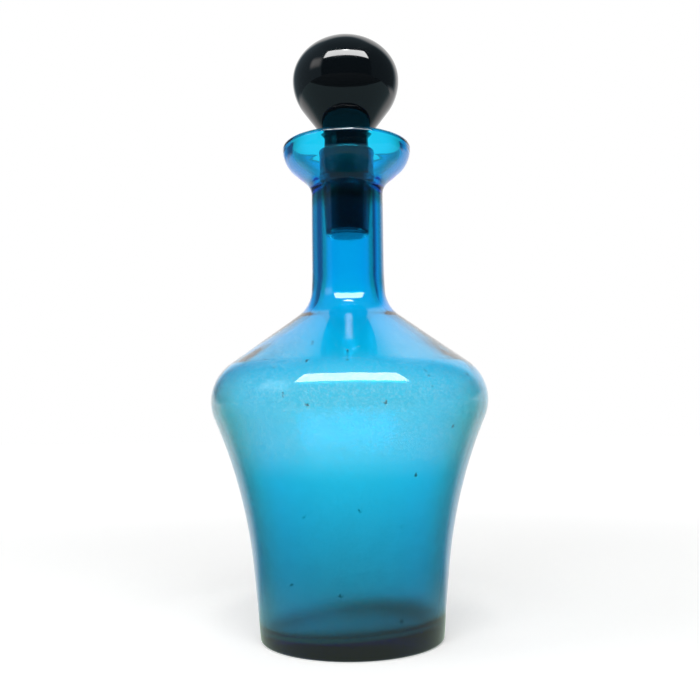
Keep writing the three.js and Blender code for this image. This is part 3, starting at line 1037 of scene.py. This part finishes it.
def make_world():
    """A white tent with a dark opening in front and a long softbox over it.

    What is seen directly or straight through the glass is plain white. Reflections see the tent.
    """
    world = bpy.data.worlds.new("light_tent")
    bpy.context.scene.world = world
    world.use_nodes = True
    tree = world.node_tree
    tree.nodes.clear()
    direction = add_node(tree, "ShaderNodeTexCoord").outputs["Generated"]
    axes = add_node(tree, "ShaderNodeSeparateXYZ", {0: direction}).outputs
    towards, side_angle = front_angle(tree, axes)
    rise_angle = add_node(tree, "ShaderNodeMath", {0: axes["Z"]}, operation="ARCSINE")
    side = add_node(tree, "ShaderNodeMath", {0: side_angle}, operation="DEGREES")
    rise = add_node(tree, "ShaderNodeMath", {0: rise_angle}, operation="DEGREES")
    level = add_node(tree, "ShaderNodeMapRange", {
        "Value": axes["X"], "From Min": -WALL_BLEND, "From Max": WALL_BLEND,
        "To Min": LEFT_WALL_LEVEL, "To Max": RIGHT_WALL_LEVEL,
    })
    ceiling = add_node(tree, "ShaderNodeMapRange", {
        "Value": rise, "From Min": CEILING_STARTS, "From Max": CEILING_FULL,
    }, interpolation_type="SMOOTHSTEP")
    layers = [
        (tent_back(tree, side, rise), BACK_LEVEL),
        (ceiling, CEILING_LEVEL),
        (tent_patch(tree, side, rise, *OPENING), OPENING_LEVEL),
        (tent_patch(tree, side, rise, *SIDE_LIGHT), SIDE_LIGHT_LEVEL),
        (softbox_share(tree, axes, towards, rise_angle), SOFTBOX_LEVEL),
    ]
    for share, layer_level in layers:
        level = add_node(tree, "ShaderNodeMix", {0: share, FLOAT_A: level, FLOAT_B: layer_level})
    mirrored, scattered = ray_kinds(tree)
    seen = add_node(tree, "ShaderNodeMix", {0: mirrored, FLOAT_A: 1.0, FLOAT_B: level})
    strength = add_node(tree, "ShaderNodeMix", {0: scattered, FLOAT_A: seen, FLOAT_B: AMBIENT})
    dim = add_node(tree, "ShaderNodeMapRange", {
        "Value": strength, "From Min": COOL_STARTS, "From Max": COOL_FULL,
    })
    cool = add_node(tree, "ShaderNodeMath", {0: dim, 1: mirrored}, operation="MULTIPLY")
    colour = add_node(tree, "ShaderNodeMix", {
        0: cool, COLOUR_A: linear(WHITE), COLOUR_B: linear(COOL_TINT),
    }, data_type="RGBA")
    background = add_node(tree, "ShaderNodeBackground", {"Color": colour, "Strength": strength})
    add_node(tree, "ShaderNodeOutputWorld", {"Surface": background})


# Floor: lengths in metres, and distances from the bottle's axis
FLOOR_WIDTH = 6.0
FLOOR_DROP = 0.00002
SHEET_COLOUR = "#E9EAE9"
SHEET_ROUGHNESS = 0.9
SHEET_SPECULAR = 0.2
FLOOR_GLOW = 0.34
FAR_STARTS = 0.12
FAR_FULL = 0.7

# Floor: under the foot its glow is painted light and shadow: the light that comes through the glass,
# most on the left, and shadow towards the right
PAINTED_CAUSTIC_LEFT = 0.9
PAINTED_CAUSTIC_RIGHT = 0.1
PAINTED_CAUSTIC_FADE = (-0.02, 0.015)
FOOT_EDGE = (0.038, 0.043)

# Floor: how it glows where it is mirrored in the glass
BEYOND_FRONT_GLOW = 0.02
IN_FRONT_GLOW = 0.40
IN_FRONT_TINT = "#C2E8F0"
FRONT_EDGE = -0.35
FRONT_EDGE_BLEND = 0.01
BESIDE_FOOT_GLOW = 0.72
BESIDE_FOOT_TINT = "#DCF4E0"
BESIDE_FOOT_FADE = (0.16, 0.08)
BEHIND_STARTS = math.radians(112)
BEHIND_FULL = math.radians(134)


def glow_to_the_eye(tree, reach, far, axes):
    """The glow that keeps the sheet white. Under the foot it is painted light on the left and painted
    shadow on the right.
    """
    far_glow = add_node(tree, "ShaderNodeMix", {0: far, FLOAT_A: FLOOR_GLOW, FLOAT_B: 1.0})
    painted_caustic = add_node(tree, "ShaderNodeMapRange", {
        "Value": axes["X"], "From Min": PAINTED_CAUSTIC_FADE[0], "From Max": PAINTED_CAUSTIC_FADE[1],
        "To Min": PAINTED_CAUSTIC_LEFT, "To Max": PAINTED_CAUSTIC_RIGHT,
    }, interpolation_type="SMOOTHSTEP")
    clear_of_foot = add_node(tree, "ShaderNodeMapRange", {
        "Value": reach, "From Min": FOOT_EDGE[0], "From Max": FOOT_EDGE[1],
    })
    # Inside the foot's edge only the painted light and shadow glow
    under = add_node(tree, "ShaderNodeMix", {0: clear_of_foot, FLOAT_A: painted_caustic, FLOAT_B: 1.0})
    return add_node(tree, "ShaderNodeMath", {0: far_glow, 1: under}, operation="MULTIPLY")


def mirrored_glow(tree, beside_foot, behind, axes):
    """The glow that the glass mirrors: white behind, bright beside the foot, dark past the front edge."""
    near_front = add_node(tree, "ShaderNodeMapRange", {
        "Value": axes["Y"],
        "From Min": FRONT_EDGE - FRONT_EDGE_BLEND, "From Max": FRONT_EDGE + FRONT_EDGE_BLEND,
        "To Min": BEYOND_FRONT_GLOW, "To Max": IN_FRONT_GLOW,
    })
    in_front = add_node(tree, "ShaderNodeMix", {
        0: beside_foot, FLOAT_A: near_front, FLOAT_B: BESIDE_FOOT_GLOW,
    })
    return add_node(tree, "ShaderNodeMix", {0: behind, FLOAT_A: in_front, FLOAT_B: 1.0})


def mirrored_tint(tree, mirrored, beside_foot, behind):
    """White, but where the floor in front is mirrored it is cool, and a little green beside the foot."""
    before_foot = add_node(tree, "ShaderNodeMath", {0: 1.0, 1: behind}, operation="SUBTRACT")
    cool = add_node(tree, "ShaderNodeMath", {0: mirrored, 1: before_foot}, operation="MULTIPLY")
    front_tint = add_node(tree, "ShaderNodeMix", {
        0: beside_foot, COLOUR_A: linear(IN_FRONT_TINT), COLOUR_B: linear(BESIDE_FOOT_TINT),
    }, data_type="RGBA")
    return add_node(tree, "ShaderNodeMix", {
        0: cool, COLOUR_A: linear(WHITE), COLOUR_B: front_tint,
    }, data_type="RGBA")


def floor_material():
    """A white sheet, matte. It glows to the eye so that it stays white, and still takes the shadow."""
    material, tree = new_material("matte_white_sheet")
    mirrored, scattered = ray_kinds(tree)
    place = add_node(tree, "ShaderNodeTexCoord").outputs["Object"]
    axes = add_node(tree, "ShaderNodeSeparateXYZ", {0: place}).outputs
    reach = add_node(tree, "ShaderNodeVectorMath", {0: place}, operation="LENGTH")
    far = add_node(tree, "ShaderNodeMapRange", {
        "Value": reach, "From Min": FAR_STARTS, "From Max": FAR_FULL,
    }, interpolation_type="SMOOTHSTEP")
    beside_foot = add_node(tree, "ShaderNodeMapRange", {
        "Value": reach, "From Min": BESIDE_FOOT_FADE[0], "From Max": BESIDE_FOOT_FADE[1],
    }, interpolation_type="SMOOTHSTEP")
    side_angle = front_angle(tree, axes)[1]
    off_front = add_node(tree, "ShaderNodeMath", {0: side_angle}, operation="ABSOLUTE")
    behind = add_node(tree, "ShaderNodeMapRange", {
        "Value": off_front, "From Min": BEHIND_STARTS, "From Max": BEHIND_FULL,
    }, interpolation_type="SMOOTHSTEP")
    seen = add_node(tree, "ShaderNodeMix", {
        0: mirrored,
        FLOAT_A: glow_to_the_eye(tree, reach, far, axes),
        FLOAT_B: mirrored_glow(tree, beside_foot, behind, axes),
    })
    glow = add_node(tree, "ShaderNodeMix", {0: scattered, FLOAT_A: seen, FLOAT_B: 0.0})
    glowing_alone = add_node(tree, "ShaderNodeMath", {0: mirrored, 1: far}, operation="MAXIMUM")
    sheet = add_node(tree, "ShaderNodeMix", {
        0: glowing_alone, COLOUR_A: linear(SHEET_COLOUR), COLOUR_B: linear(BLACK),
    }, data_type="RGBA")
    body = add_node(tree, "ShaderNodeBsdfPrincipled", {
        "Base Color": sheet, "Roughness": SHEET_ROUGHNESS, "Specular IOR Level": SHEET_SPECULAR,
        "Emission Color": mirrored_tint(tree, mirrored, beside_foot, behind), "Emission Strength": glow,
    })
    add_node(tree, "ShaderNodeOutputMaterial", {"Surface": body})
    return material


def make_floor():
    """A square sheet, a hair lower than the foot so that the two faces don't meet."""
    mesh = bpy.data.meshes.new("floor")
    half = FLOOR_WIDTH / 2
    corners = [(-half, -half), (half, -half), (half, half), (-half, half)]
    mesh.from_pydata([(*corner, -FLOOR_DROP) for corner in corners], [], [(0, 1, 2, 3)])
    mesh.materials.append(floor_material())
    floor = add_object("floor", mesh)


def add_lamp(name, place, aim, width, depth, power, spread=180, mirrored=False):
    """A rectangular lamp that lights matte faces, and shows in reflections only where it is asked to."""
    data = bpy.data.lights.new(name, "AREA")
    data.spread = math.radians(spread)
    data.shape = "RECTANGLE"
    data.size = width
    data.size_y = depth
    data.energy = power
    lamp = add_object(name, data)
    lamp.location = place
    lamp.rotation_euler = (Vector(aim) - Vector(place)).to_track_quat("-Z", "Y").to_euler()
    lamp.visible_camera = False
    lamp.visible_glossy = mirrored
    lamp.visible_transmission = False


def make_lamps():
    """Two soft lamps for the shadow, and a small one whose reflection is the glint at the neck's foot."""
    middle = (0, 0, 0.12)
    add_lamp("key_softbox", place=(0, -0.72, 0.80), aim=middle, width=1.1, depth=0.45, power=8.0)
    add_lamp("side_fill", place=(-0.9, -0.2, 0.5), aim=middle, width=0.6, depth=0.6, power=2.0)
    add_lamp("glint_lamp", place=(0.003, -0.123, 0.414), aim=(0, -0.017, 0.18), width=0.15, depth=0.021,
             power=0.008, spread=20, mirrored=True)


make_camera()
make_world()
make_floor()
make_lamps()
make_carafe()
bpy.context.scene.view_settings.view_transform = "Standard"
